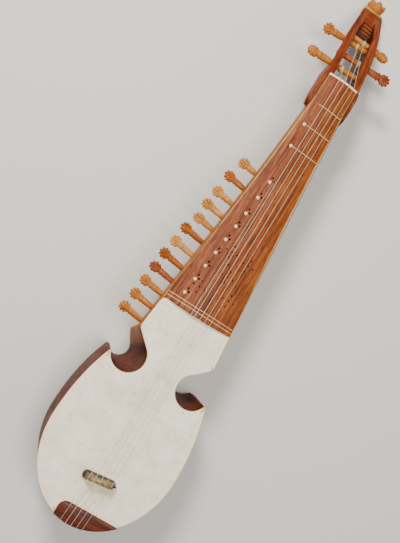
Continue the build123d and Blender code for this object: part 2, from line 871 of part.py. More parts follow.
def nut_form():
    # The nut stands on the pegbox's top edge, with a groove for each string.
    half = nut_half_width
    edge = nut_top(half)
    foot = -cheek_below_face
    arc = ThreePointArc((-half, edge), (0, nut_top(0)), (half, edge))
    outline = arc + Polyline((half, edge), (half, foot), (-half, foot), (-half, edge))
    bar = extrude(across(0, face_z) * make_face(outline), -nut_thickness)
    crest = bar.edges().filter_by(GeomType.CIRCLE).sort_by(Axis.Y)[-1]
    return fillet(crest, nut_round)


def build_pegs():
    nodes = {}
    for index, (frame, push) in enumerate(zip(side_peg_frames(), side_peg_push)):
        solid = peg(side_peg_radius, side_peg_inside + push, side_peg_stand - push,
                    side_peg_head_radius, side_peg_head_length, side_peg_head_thickness)
        nodes[f"side_peg_{index + 1:02d}"] = frame * Rot(rest_turn(index), 0, 0) * solid
    for index, (past_nut, side, stand) in enumerate(main_peg_places):
        solid = peg(main_peg_radius, pegs_across(index), stand,
                    main_peg_head_radius, main_peg_head_length, main_peg_head_thickness)
        frame = main_peg_frame(index) * Rot(rest_turn(index + 5), 0, 0)
        nodes[f"main_peg_{index + 1}"] = frame * solid
    for index, peg_index in enumerate(string_pegs):
        past_nut, side, _ = main_peg_places[peg_index]
        reach = box_half_width_at(past_nut) - side * winding_places_x[index]
        width = winding_turns * (string_diameters[index] + winding_gap)
        frame = main_peg_frame(peg_index) * Pos(-reach - width / 2, 0, 0)
        nodes[f"winding_{index + 1}"] = frame * winding(index)
    return nodes


def rest_turn(index):
    # Each peg stands at its own angle, as tuning leaves it.
    return (index * 53) % 70 - 35


def build_all():
    nodes = build_woodwork()
    nodes.update(build_board())
    nut = nut_form()
    bridge = bridge_form()
    for groove in [main_string(index, string_lift) for index in range(len(string_diameters))]:
        nut -= groove
        bridge -= groove
    nodes["nut"] = nut
    nodes["bridge"] = bridge - drone_string(string_lift)
    nodes["finial_cap"] = finial_cap()
    nodes["finial_bud"] = finial_bud()
    nodes.update(build_pegs())
    for index in range(len(string_diameters)):
        nodes[f"string_{index + 1}"] = main_string(index)
    nodes["drone_string"] = drone_string()
    return nodes


for node, solids in build_all().items():
    save(node, solids)
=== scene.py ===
import json
import math
import bmesh
import bpy
from mathutils import Matrix, Vector, noise
from mathutils.bvhtree import BVHTree
from mathutils.kdtree import KDTree


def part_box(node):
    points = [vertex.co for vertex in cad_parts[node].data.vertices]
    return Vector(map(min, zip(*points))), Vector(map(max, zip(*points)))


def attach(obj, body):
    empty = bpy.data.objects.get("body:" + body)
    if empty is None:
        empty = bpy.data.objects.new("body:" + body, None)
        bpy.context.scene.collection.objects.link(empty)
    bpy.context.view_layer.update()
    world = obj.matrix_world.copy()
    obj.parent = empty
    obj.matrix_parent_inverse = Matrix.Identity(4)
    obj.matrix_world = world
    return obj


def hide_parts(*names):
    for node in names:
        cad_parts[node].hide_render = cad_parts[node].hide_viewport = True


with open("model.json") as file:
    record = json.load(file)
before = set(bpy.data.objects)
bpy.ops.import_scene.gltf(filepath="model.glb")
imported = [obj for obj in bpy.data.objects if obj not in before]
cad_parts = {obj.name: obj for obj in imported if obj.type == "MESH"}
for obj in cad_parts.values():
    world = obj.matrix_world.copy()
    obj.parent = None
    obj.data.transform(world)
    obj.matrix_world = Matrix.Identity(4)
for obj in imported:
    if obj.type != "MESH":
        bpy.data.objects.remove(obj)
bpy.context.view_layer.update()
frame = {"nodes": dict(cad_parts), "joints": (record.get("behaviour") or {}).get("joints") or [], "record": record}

mm = 0.001
print("frame loaded")

# Camera, floor and light

camera = {
    "place": (-0.23714, 0.19860, 1.25263),
    "aim": (-0.03315, 0.29238, 0.122),
    "up": (-0.5357, 0.8440, -0.0267),
    "imageHeight": 543,
    "focalPixels": 760,
}


def makeCamera():
    data = bpy.data.cameras.new("photoCamera")
    data.sensor_fit = "VERTICAL"
    data.sensor_height = 24
    data.lens = camera["focalPixels"] * data.sensor_height / camera["imageHeight"]
    data.clip_start = 0.05
    place = Vector(camera["place"])
    back = (place - Vector(camera["aim"])).normalized()
    right = Vector(camera["up"]).cross(back).normalized()
    up = back.cross(right)
    turn = Matrix((right, up, back)).transposed().to_4x4()
    rig = bpy.data.objects.new("photoCamera", data)
    rig.matrix_world = Matrix.Translation(place) @ turn
    bpy.context.collection.objects.link(rig)
    bpy.context.scene.camera = rig


makeCamera()
print("camera placed")

# Materials


def toLinear(hexColour):
    channels = [int(hexColour[i:i + 2], 16) / 255 for i in (0, 2, 4)]
    return tuple(c / 12.92 if c <= 0.04045 else ((c + 0.055) / 1.055) ** 2.4 for c in channels) + (1.0,)


def addNode(tree, kind, inputs=None, stops=(), **settings):
    # Inputs go by name or number: a node or socket is linked, a list links several, anything else is set.
    node = tree.nodes.new(kind)
    for key, value in settings.items():
        setattr(node, key, value)
    for key, given in (inputs or {}).items():
        for value in given if isinstance(given, list) else [given]:
            if isinstance(value, bpy.types.Node):
                tree.links.new(value.outputs[0], node.inputs[key])
            elif isinstance(value, bpy.types.NodeSocket):
                tree.links.new(value, node.inputs[key])
            else:
                node.inputs[key].default_value = value
    for index, (place, colour) in enumerate(stops):
        elements = node.color_ramp.elements
        element = elements[index] if index < len(elements) else elements.new(place)
        element.position = place
        element.color = toLinear(colour)
    return node


def startMaterial(name):
    material = bpy.data.materials.new(name)
    material.use_nodes = True
    tree = material.node_tree
    tree.nodes.clear()
    coords = addNode(tree, "ShaderNodeTexCoord")
    return material, tree, coords.outputs["Object"]


def endMaterial(tree, inputs):
    shader = addNode(tree, "ShaderNodeBsdfPrincipled", inputs)
    addNode(tree, "ShaderNodeOutputMaterial", {"Surface": shader})


woodBasics = {
    "along": "y",            # the axis that the grain follows
    "slopeDeg": 0.0,         # how far the grain dips towards the far end
    "grainMm": 2.0,          # width of a growth line
    "longer": 30,            # how many times longer than wide the lines are
    "streakMm": 9.0,         # broad light and dark bands
    "poreMm": 0.8,           # drawn coarser than real pores, which would not show
    "pores": 0.6,
    "bump": 0.2,
    "roughness": 0.5,
    "gloss": 0.16,           # oil without varnish reflects little at a low angle
    "tint": None,
}


def woodMaterial(name, stops, **changes):
    # Growth lines along the grain over broad streaks, with fine dark pores that also dent the surface.
    look = {**woodBasics, **changes}
    material, tree, coords = startMaterial(name)
    sway = addNode(tree, "ShaderNodeTexNoise", {0: coords, "Scale": 1 / (60 * mm), "Detail": 1.0})
    bent = addNode(tree, "ShaderNodeVectorMath", {0: sway.outputs[1], 3: 3 * mm}, operation="SCALE")
    swayed = addNode(tree, "ShaderNodeVectorMath", {0: coords, 1: bent}, operation="ADD")
    place = addNode(tree, "ShaderNodeVectorRotate", {0: swayed, "Angle": math.radians(look["slopeDeg"])},
                    rotation_type="X_AXIS")
    layers = []
    for widthMm, longer, detail in ((look["grainMm"], look["longer"], 6.0), (look["streakMm"], 14, 3.0),
                                    (look["poreMm"], 16, 3.0)):
        fine, long = 1 / (widthMm * mm), 1 / (widthMm * longer * mm)
        scale = (long, fine, fine) if look["along"] == "x" else (fine, long, fine)
        space = addNode(tree, "ShaderNodeMapping", {0: place, "Scale": scale})
        layers.append(addNode(tree, "ShaderNodeTexNoise", {0: space, "Scale": 1.0, "Detail": detail,
                                                           "Roughness": 0.6}))
    grain, streak, pore = layers
    half = addNode(tree, "ShaderNodeMath", {0: streak, 1: 0.5}, operation="MULTIPLY")
    both = addNode(tree, "ShaderNodeMath", {0: grain, 1: 0.5, 2: half}, operation="MULTIPLY_ADD")
    colour = addNode(tree, "ShaderNodeValToRGB", {0: both}, stops).outputs[0]
    if look["tint"]:
        colour = look["tint"](tree, coords, colour)
    shade = addNode(tree, "ShaderNodeValToRGB", {0: pore}, ((0.38, "7A6A60"), (0.47, "FFFFFF")))
    porous = addNode(tree, "ShaderNodeMix", {0: look["pores"], 6: colour, 7: shade}, data_type="RGBA",
                     blend_type="MULTIPLY")
    dent = addNode(tree, "ShaderNodeBump", {"Height": pore, "Strength": look["bump"], "Distance": 0.2 * mm})
    rough = addNode(tree, "ShaderNodeMapRange", {0: grain, 1: 0.3, 2: 0.7, 3: look["roughness"] + 0.12,
                                                 4: look["roughness"] - 0.06})
    endMaterial(tree, {"IOR": 1.5, "Specular IOR Level": look["gloss"], "Base Color": porous.outputs[2],
                       "Roughness": rough, "Normal": dent})
    return material


def plainMaterial(name, low, high, sizeMm, roughness, bump, tint=None, **finish):
    # A smooth dense stuff with faint clouding.
    material, tree, coords = startMaterial(name)
    cloud = addNode(tree, "ShaderNodeTexNoise", {0: coords, "Scale": 1 / (sizeMm * mm), "Detail": 4.0})
    colour = addNode(tree, "ShaderNodeValToRGB", {0: cloud}, ((0.3, low), (0.7, high))).outputs[0]
    if tint:
        colour = tint(tree, coords, colour)
    dent = addNode(tree, "ShaderNodeBump", {"Height": cloud, "Strength": bump, "Distance": 0.1 * mm})
    named = {key.replace("_", " "): value for key, value in finish.items()}
    endMaterial(tree, {"Roughness": roughness, "Base Color": colour, "Normal": dent, **named})
    return material


def boardSheenTint(tree, coords, colour):
    # Painted reflection: the board's left half is tinted paler and pinker as its sheen, and the right half stays
    # orange.
    split = addNode(tree, "ShaderNodeSeparateXYZ", {0: coords})
    share = addNode(tree, "ShaderNodeMapRange", {0: split, 1: -2 * mm, 2: 6 * mm, 3: 0.0, 4: 1.0})
    shade = addNode(tree, "ShaderNodeMix", {0: share, 6: toLinear("FFF0DE"), 7: toLinear("FFE8A4")},
                    data_type="RGBA")
    return addNode(tree, "ShaderNodeMix", {0: 1.0, 6: colour, 7: shade.outputs[2]}, data_type="RGBA",
                   blend_type="MULTIPLY").outputs[2]


def heelTint(tree, coords, colour):
    # Where the neck was sawn across at its heel, the growth rings show as wavy bands.
    rings = addNode(tree, "ShaderNodeTexWave", {0: coords, "Scale": 1 / (22 * mm), "Distortion": 3.5,
                                                "Detail": 3.0, "Detail Scale": 1.6}, bands_direction="Z")
    shade = addNode(tree, "ShaderNodeValToRGB", {0: rings}, ((0.15, "D89C60"), (0.45, "FFFFFF"), (0.9, "F4CC98")))
    split = addNode(tree, "ShaderNodeSeparateXYZ", {0: coords})
    share = addNode(tree, "ShaderNodeMapRange", {0: split.outputs[1], 1: 205 * mm, 2: 180 * mm, 3: 0.0, 4: 0.9})
    return addNode(tree, "ShaderNodeMix", {0: share, 6: colour, 7: shade}, data_type="RGBA",
                   blend_type="MULTIPLY").outputs[2]


def recessShadeTint(tree, coords, colour):
    # Painted shade: the wood is darkened where ambient occlusion finds recesses, inside the box and under the cheeks.
    corner = addNode(tree, "ShaderNodeAmbientOcclusion", {"Distance": 45 * mm}, samples=8, only_local=True)
    shade = addNode(tree, "ShaderNodeValToRGB", {0: corner.outputs[1]}, ((0.5, "160B05"), (0.86, "FFFFFF")))
    return addNode(tree, "ShaderNodeMix", {0: 0.9, 6: colour, 7: shade}, data_type="RGBA",
                   blend_type="MULTIPLY").outputs[2]


def hornTint(tree, coords, colour):
    # The horn is clear gold in its middle and clouds to black towards both ends.
    split = addNode(tree, "ShaderNodeSeparateXYZ", {0: coords})
    middle = addNode(tree, "ShaderNodeMath", {0: split, 1: 3 * mm}, operation="SUBTRACT")
    away = addNode(tree, "ShaderNodeMath", {0: middle}, operation="ABSOLUTE")
    share = addNode(tree, "ShaderNodeMapRange", {0: away, 1: 8 * mm, 2: 22 * mm, 3: 0.0, 4: 0.8})
    return addNode(tree, "ShaderNodeMix", {0: share, 6: colour, 7: toLinear("1C1408")},
                   data_type="RGBA").outputs[2]


def skinMaterial():
    # Goat skin scraped thin and dried stretched: matt, faintly clouded and veined, with a painted cream highlight
    # near its edge and a glue stain at the very edge.
    material, tree, coords = startMaterial("goatSkin")
    cloud = addNode(tree, "ShaderNodeTexNoise", {0: coords, "Scale": 1 / (34 * mm), "Detail": 5.0,
                                                 "Roughness": 0.55})
    veins = addNode(tree, "ShaderNodeTexNoise", {0: coords, "Scale": 1 / (12 * mm), "Detail": 6.0,
                                                 "Roughness": 0.7, "Distortion": 1.2})
    pores = addNode(tree, "ShaderNodeTexVoronoi", {0: coords, "Scale": 1 / (1.6 * mm)})
    body = addNode(tree, "ShaderNodeValToRGB", {0: cloud}, ((0.3, "E8DCC2"), (0.5, "F5ECD9"), (0.72, "FCF6E9")))
    vein = addNode(tree, "ShaderNodeValToRGB", {0: veins}, ((0.36, "E2D2B4"), (0.5, "FFFFFF")))
    veined = addNode(tree, "ShaderNodeMix", {0: 0.5, 6: body, 7: vein}, data_type="RGBA", blend_type="MULTIPLY")
    rim = addNode(tree, "ShaderNodeAttribute", attribute_name="rim").outputs["Fac"]
    ragged = addNode(tree, "ShaderNodeMath", {0: rim, 1: veins}, operation="MULTIPLY")
    # Painted highlight: a ragged cream band near the edge.
    rimHighlight = addNode(tree, "ShaderNodeMapRange", {0: ragged, 1: 0.1, 2: 0.4, 3: 0.0, 4: 0.8})
    edged = addNode(tree, "ShaderNodeMix", {0: rimHighlight, 6: veined.outputs[2], 7: toLinear("FFF0D2")},
                    data_type="RGBA")
    glue = addNode(tree, "ShaderNodeMapRange", {0: rim, 1: 0.74, 2: 0.95, 3: 0.0, 4: 0.8})
    stained = addNode(tree, "ShaderNodeMix", {0: glue, 6: edged.outputs[2], 7: toLinear("D8A25C")},
                      data_type="RGBA")
    height = addNode(tree, "ShaderNodeMath", {0: pores, 1: 0.3, 2: veins}, operation="MULTIPLY_ADD")
    dent = addNode(tree, "ShaderNodeBump", {"Height": height, "Strength": 0.25, "Distance": 0.15 * mm})
    endMaterial(tree, {"Roughness": 0.6, "Specular IOR Level": 0.35, "Sheen Weight": 0.05,
                       "Base Color": stained.outputs[2], "Normal": dent})
    return material


# Old mulberry, carved and oiled: red-brown that is nearly black in its pores, with a soft low gloss.
bowlWood = woodMaterial("oiledMulberryDark", ((0.3, "2A0D05"), (0.5, "5A2412"), (0.7, "8A4628")), gloss=0.1)
# Young mulberry of the neck: honey brown with clear growth lines, sawn across at the heel.
neckWood = woodMaterial("oiledMulberryLight", ((0.3, "804214"), (0.5, "B26E2A"), (0.7, "D08E44")), tint=heelTint)
# The slips along the board's edges are the same young wood, scraped clean and golden.
edgeWood = woodMaterial("oiledMulberryGold", ((0.3, "8A5216"), (0.5, "C48634"), (0.7, "E0AC58")), grainMm=1.2)
# The pegbox is the same tree stained redder, polished by hands, and darkened inside by painted shade.
headWood = woodMaterial("oiledMulberryRed", ((0.3, "401606"), (0.5, "783214"), (0.7, "A4582A")), roughness=0.44,
                        slopeDeg=27.0, tint=recessShadeTint)
# The tail's plate has its grain across the body and shines a little where the strings press and hands rest.
tailWood = woodMaterial("oiledMulberryTail", ((0.3, "280C05"), (0.5, "521C0F"), (0.7, "7A381E")), along="x",
                        grainMm=2.2, roughness=0.38, gloss=0.2)
# Walnut planed along its grain: long straight streaks, open pores, a hand-worn satin and a painted sheen on its left
# half.
boardWood = woodMaterial("oiledWalnutBoard", ((0.32, "44200F"), (0.5, "80462C"), (0.68, "AE7048")), grainMm=1.4,
                         longer=90, streakMm=5, pores=0.75, roughness=0.46, tint=boardSheenTint)
# Apricot wood whittled with a knife: close grain and a dull wax gloss, from pale tan to red by the piece.
pegLight = woodMaterial("apricotWoodLight", ((0.3, "92561F"), (0.5, "C0843F"), (0.7, "DCAC6A")), along="x")
pegWarm = woodMaterial("apricotWoodWarm", ((0.3, "7E3E12"), (0.5, "B06826"), (0.7, "D08E48")), along="x")
pegDeep = woodMaterial("apricotWoodDeep", ((0.3, "602C0C"), (0.5, "9C521C"), (0.7, "BE7838")), along="x")
pegRed = woodMaterial("apricotWoodRed", ((0.3, "5C2410"), (0.5, "964A26"), (0.7, "B87046")), along="x")
skinStuff = skinMaterial()
# Camel bone filed and buffed: ivory, dense and quite glossy.
boneStuff = plainMaterial("polishedBone", "DCC9A2", "F4E6C8", 3, 0.28, 0.1)
# Thin slips of boxwood let into the board: pale tan and smooth.
inlayStuff = plainMaterial("boxwoodInlay", "B98A50", "DDB682", 3, 0.4, 0.1)
# Ram's horn sawn, filed and polished: clouded gold with a wet gloss.
hornStuff = plainMaterial("polishedHorn", "261C08", "B08E40", 2.5, 0.26, 0.15, hornTint, Coat_Weight=0.15)
# The horn's dark tip, used for its foot and ribs: near black and only rubbed smooth.
hornDark = plainMaterial("blackHorn", "120D06", "3A2E18", 3, 0.42, 0.15)
# Gut that was twisted wet and dried: dull straw yellow.
gutStuff = plainMaterial("gutFret", "B49868", "D8C08E", 2, 0.45, 0.1)
# Drawn nylon: half clear, warm where the wood shows through it, with a sharp thin highlight.
nylonStuff = plainMaterial("clearNylon", "E0CEAA", "FAECD2", 4, 0.25, 0.05, Transmission_Weight=0.5)
# Near-black slips beside the board's golden edges: a thin black line, painted shade for the shadowed gap between
# strip and neck.
shadowLineStuff = plainMaterial("shadowGapLine", "150C06", "2C1A0E", 3, 0.4, 0.1)
print("materials ready")

bySlot = {"bowl_wood": bowlWood, "neck_wood": neckWood, "head_wood": headWood, "board_wood": boardWood,
          "peg_wood": pegLight, "goat_skin": skinStuff, "bone": boneStuff, "horn": hornStuff,
          "gut": gutStuff, "nylon": nylonStuff}
byNode = {"board_inlay_1": inlayStuff, "board_inlay_2": inlayStuff,
          "edge_strip_left": edgeWood, "edge_strip_right": edgeWood}
slotOf = {part["node"]: part["material_slot"] for part in frame["record"]["subparts"]}
bodyOf = {node: body for body, nodes in frame["record"]["behaviour"]["bodies"].items() for node in nodes}
jointOf = {joint["child"]: joint for joint in frame["joints"]}
for name, node in frame["nodes"].items():
    for place in node.material_slots:
        place.material = byNode.get(name, bySlot[slotOf[name]])

# Helpers for meshes


def linkPiece(name, mesh):
    piece = bpy.data.objects.new(name, mesh)
    bpy.context.collection.objects.link(piece)
    return piece


def meshFrom(bm, smoothDeg=35):
    # Doubles merged, faces turned outwards, smooth except over sharp edges.
    bmesh.ops.remove_doubles(bm, verts=bm.verts, dist=0.004 * mm)
    bmesh.ops.recalc_face_normals(bm, faces=bm.faces)
    mesh = bpy.data.meshes.new("piece")
    bm.to_mesh(mesh)
    bm.free()
    mesh.shade_smooth()
    mesh.set_sharp_from_angle(angle=math.radians(smoothDeg))
    return mesh


def settle(piece, smoothDeg=35):
    # The modifiers' result becomes the piece's own plain mesh.
    bpy.context.view_layer.update()
    result = bpy.data.meshes.new_from_object(piece.evaluated_get(bpy.context.evaluated_depsgraph_get()))
    piece.modifiers.clear()
    piece.data = result
    result.shade_smooth()
    result.set_sharp_from_angle(angle=math.radians(smoothDeg))
    return piece


def finishPiece(piece, material, replaced, body=None):
    # The piece takes its material, stands for the nodes it replaces and moves with their body.
    piece.data.materials.clear()
    piece.data.materials.append(material)
    if replaced:
        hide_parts(*replaced)
    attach(piece, body or bodyOf[replaced[0]])


def roundedCopy(node, name, widthMm, flatDeg=0.6, sharpDeg=30, segments=2):
    # A merged copy of a node whose sharp edges are rounded as scraped and sanded wood is.
    bm = bmesh.new()
    bm.from_mesh(frame["nodes"][node].data)
    bmesh.ops.remove_doubles(bm, verts=bm.verts, dist=0.01 * mm)
    bmesh.ops.dissolve_limit(bm, angle_limit=math.radians(flatDeg), verts=bm.verts, edges=bm.edges)
    piece = linkPiece(name, meshFrom(bm, sharpDeg))
    if widthMm:
        bevel = piece.modifiers.new("rounding", "BEVEL")
        bevel.width = widthMm * mm
        bevel.segments = segments
        bevel.limit_method = "ANGLE"
        bevel.angle_limit = math.radians(sharpDeg)
    return settle(piece)


def turned(bm, profile, sides=24):
    # A closed solid of revolution about X from (x, radius) pairs in millimetres.
    rings = []
    for x, radius in profile:
        turns = [2 * math.pi * i / sides for i in range(sides)]
        rings.append([bm.verts.new((x * mm, radius * mm * math.cos(t), radius * mm * math.sin(t))) for t in turns])
    for low, high in zip(rings, rings[1:]):
        for i in range(sides):
            j = (i + 1) % sides
            bm.faces.new((low[i], high[i], high[j], low[j]))
    for ring, end in ((rings[0], profile[0][0]), (rings[-1], profile[-1][0])):
        tip = bm.verts.new((end * mm, 0, 0))
        for i in range(sides):
            bm.faces.new((ring[i], ring[(i + 1) % sides], tip))


def alongAxis(joint):
    # The frame of a joint, with local X along its axis and local Z up.
    axis = Vector(joint["axis"]).normalized()
    side = Vector((0, 0, 1)).cross(axis).normalized()
    turn = Matrix((axis, side, axis.cross(side))).transposed().to_4x4()
    return Matrix.Translation(Vector(joint["pos_m"])) @ turn


# Helpers for Geometry Nodes


def startTree(name, inputs):
    # A tree with a Geometry input and output and one float input for each named size.
    tree = bpy.data.node_groups.new(name, "GeometryNodeTree")
    tree.interface.new_socket("Geometry", in_out="OUTPUT", socket_type="NodeSocketGeometry")
    tree.interface.new_socket("Geometry", in_out="INPUT", socket_type="NodeSocketGeometry")
    for key, value in inputs.items():
        socket = tree.interface.new_socket(key, in_out="INPUT", socket_type="NodeSocketFloat")
        socket.default_value = value
    entry = addNode(tree, "NodeGroupInput")
    return tree, {socket.name: socket for socket in entry.outputs if socket.name}


def endTree(tree, geometry, material):
    real = addNode(tree, "GeometryNodeRealizeInstances", {0: geometry})
    dressed = addNode(tree, "GeometryNodeSetMaterial", {0: real, "Material": material})
    addNode(tree, "NodeGroupOutput", {0: dressed})


def grow(name, tree, values, base=None, smoothDeg=50):
    # Runs a tree on a base mesh and keeps the result as a plain mesh.
    piece = linkPiece(name, base or bpy.data.meshes.new(name))
    modifier = piece.modifiers.new("nodes", "NODES")
    modifier.node_group = tree
    for item in tree.interface.items_tree:
        if item.in_out == "INPUT" and item.name in values:
            modifier[item.identifier] = float(values[item.name])
    return settle(piece, smoothDeg)


# Pegs

pegLook = {
    "lobePitchDeg": 40,       # seven lobes round the head's end
    "notchShare": 0.24,       # how deep the outline is cut between two lobes
    "grooveMm": 2.4,          # carved grooves that run from the notches to the collar
    "rings": 12,
    "steps": 72,
    "restStepDeg": 53,        # the pegs stand at the angles that tuning left them at
}


def carvedHead(bm, start, radius, length, thickness):
    # A flat head like a palm leaf: lobes round its end, grooves that meet at its foot.
    pitch = math.radians(pegLook["lobePitchDeg"])
    centre = start + length - radius
    foot = centre - radius
    grid = []
    for side in (1, -1):
        rows = []
        for ring in range(pegLook["rings"] + 1):
            share = math.sin(math.pi / 2 * ring / pegLook["rings"])
            row = []
            for step in range(pegLook["steps"]):
                turn = 2 * math.pi * step / pegLook["steps"] - math.pi
                lobed = abs(turn) < 3.5 * pitch
                notch = abs(math.sin(math.pi * turn / pitch)) ** 3 if lobed else 0.0
                reach = share * radius * (1 - pegLook["notchShare"] * notch)
                x, y = centre + reach * math.cos(turn), reach * math.sin(turn)
                away = math.hypot(x - foot, y)
                fan = math.atan2(y, x - foot + 0.01)
                cut = abs(math.sin(2 * math.pi * fan / pitch)) ** 4 * min(1.0, away / (0.9 * radius))
                swell = max(0.0, 1 - share ** 5) ** 0.5 * (1.05 - 0.35 * (x - foot) / (2 * radius))
                height = max(0.0, thickness / 2 * swell - pegLook["grooveMm"] * cut * (1 - share ** 6))
                row.append(bm.verts.new((x * mm, y * mm, side * height * mm)))
            rows.append(row)
        grid.append(rows)
    for rows in grid:
        for low, high in zip(rows, rows[1:]):
            for i in range(len(low)):
                j = (i + 1) % len(low)
                bm.faces.new((low[i], low[j], high[j], high[i]))


def makePeg(node, material, shape, turnDeg):
    joint = jointOf[bodyOf[node]]
    seat = alongAxis(joint)
    back = seat.inverted()
    along = [(back @ v.co).x / mm for v in frame["nodes"][node].data.vertices]
    inner, outer = min(along) + shape["cut"], max(along)
    neck = outer - shape["headLength"]
    bm = bmesh.new()
    fit, thick = shape["shaft"], shape["swell"]
    turned(bm, ((inner, fit * 0.9), (inner + 0.6, fit - 0.1), (-1.0, fit), (1.5, fit + 0.15), (neck - 8.0, thick),
                (neck - 4.2, thick * 0.98), (neck - 3.6, thick * 0.86), (neck - 3.2, thick * 0.86),
                (neck - 2.6, thick * 1.12), (neck - 1.4, thick * 1.18), (neck - 0.4, thick * 1.08),
                (neck + 0.6, thick * 0.84), (neck + 2.4, thick * 0.78), (neck + 4.0, thick * 0.55)))
    carvedHead(bm, neck, shape["headRadius"], shape["headLength"], shape["headThickness"])
    mesh = meshFrom(bm, 48)
    mesh.transform(seat @ Matrix.Rotation(math.radians(turnDeg), 4, "X"))
    piece = linkPiece(node + "Carved", mesh)
    finishPiece(piece, material, [node])


# All in mm; a main peg is cut shorter at its tip, flush with the narrowed box.
sidePegShape = {"shaft": 4.1, "swell": 5.1, "headRadius": 9.7, "headLength": 20.0, "headThickness": 10.8, "cut": 0.0}
mainPegShape = {"shaft": 4.8, "swell": 6.1, "headRadius": 10.5, "headLength": 21.5, "headThickness": 11.5, "cut": 3.2}
sidePegWoods = (pegLight, pegDeep, pegLight, pegLight, pegLight, pegDeep, pegLight, pegDeep,
                pegRed, pegWarm, pegWarm, pegWarm)
mainPegWoods = (pegWarm, pegRed, pegWarm, pegWarm)


def restTurn(index):
    return (index * pegLook["restStepDeg"]) % 70 - 35


for index, wood in enumerate(sidePegWoods):
    makePeg(f"side_peg_{index + 1:02d}", wood, sidePegShape, restTurn(index))
for index, wood in enumerate(mainPegWoods):
    makePeg(f"main_peg_{index + 1}", wood, mainPegShape, restTurn(index + 5))
print("pegs carved")

# Strings wound on the main pegs

windingLook = {"turns": 5, "sides": 10, "steps": 40}


def windingTree():
    # One round wire laid in touching loops.
    tree, sizes = startTree("woundString", {"wire": 0.0005, "radius": 0.0053, "height": 0.003, "turns": 4.0})
    spiral = addNode(tree, "GeometryNodeCurveSpiral", {
        "Resolution": windingLook["steps"], "Rotations": sizes["turns"], "Start Radius": sizes["radius"],
        "End Radius": sizes["radius"], "Height": sizes["height"]})
    profile = addNode(tree, "GeometryNodeCurvePrimitiveCircle", {"Resolution": windingLook["sides"],
                                                                 "Radius": sizes["wire"]})
    tube = addNode(tree, "GeometryNodeCurveToMesh", {"Curve": spiral, "Profile Curve": profile,
                                                     "Fill Caps": True})
    endTree(tree, tube, nylonStuff)
    return tree


def makeWindings():
    tree = windingTree()
    for index in range(4):
        node = f"winding_{index + 1}"
        joint = jointOf[bodyOf[node]]
        seat = alongAxis(joint)
        back = seat.inverted()
        points = [back @ v.co for v in frame["nodes"][node].data.vertices]
        low, high = min(p.x for p in points), max(p.x for p in points)
        outer = max(math.hypot(p.y, p.z) for p in points)
        wire = (outer - mainPegShape["shaft"] * mm) / 2
        piece = grow(node + "Wound", tree, {"wire": wire * 0.98, "radius": outer - wire,
                                            "height": high - low - 2 * wire, "turns": windingLook["turns"]})
        piece.data.transform(seat @ Matrix.Translation((low + wire, 0, 0)) @ Matrix.Rotation(math.pi / 2, 4, "Y"))
        finishPiece(piece, nylonStuff, [node])


makeWindings()
print("strings wound")

# Woodwork: the CAD's own forms with scraped and rounded edges

woodLook = {
    "bowlBody": ("bowl", bowlWood, 0.9),
    "neckBody": ("neck", neckWood, 0.8),
    "headBody": ("pegbox", headWood, 0.7),
    "boardBody": ("fingerboard", boardWood, 0.25),
    "finialPlate": ("finial_cap", pegLight, 1.1),
    "tailPlate": ("tailpiece", tailWood, 0.5),
    "nutBar": ("nut", boneStuff, 0.2),
}
headLook = {
    "edge": ((664.5, 119.0), (745.0, 84.0), (828.0, 34.0)),   # the box's front edge, in mm along Y and Z
    "depthMm": 40.0,
    "narrower": 0.28,          # the box is this much narrower at its back than at its front
    "from": (672.0, 715.0),    # it narrows fully past here, so that the cheeks still clasp the neck
}


def narrowHead(piece):
    first, middle, last = headLook["edge"]
    start, full = headLook["from"]
    for vert in piece.data.vertices:
        y, z = vert.co.y / mm, vert.co.z / mm
        low, high = (first, middle) if y < middle[0] else (middle, last)
        edge = low[1] + (high[1] - low[1]) * (y - low[0]) / (high[0] - low[0])
        depth = min(1.0, max(0.0, (edge - z) / headLook["depthMm"]))
        share = min(1.0, max(0.0, (y - start) / (full - start)))
        vert.co.x *= 1 - headLook["narrower"] * depth * share * share * (3 - 2 * share)


for name, (node, wood, width) in woodLook.items():
    piece = roundedCopy(node, name, width)
    if node in ("pegbox", "finial_cap"):
        narrowHead(piece)
    finishPiece(piece, wood, [node])
print("woodwork rounded")

# Skin

skinLook = {
    "cellMm": 5.0,           # how finely the sheet is divided
    "rollMm": 1.6,           # the edge rolls down over the bowl's rim
    "rimMm": 5.0,            # the edge band: a painted cream highlight within it, a glue stain at its very edge
    "swellMm": 0.25,         # slow unevenness of a sheet that dried stretched
}


def cutInStrips(bm, low, high, step):
    # Divides a sheet along X and Y, so that it has points away from its outline.
    for axis in (0, 1):
        normal = [0, 0, 0]
        normal[axis] = 1
        for i in range(1, int((high[axis] - low[axis]) / step)):
            point = [0, 0, 0]
            point[axis] = low[axis] + i * step
            everything = bm.verts[:] + bm.edges[:] + bm.faces[:]
            bmesh.ops.bisect_plane(bm, geom=everything, plane_co=point, plane_no=normal)


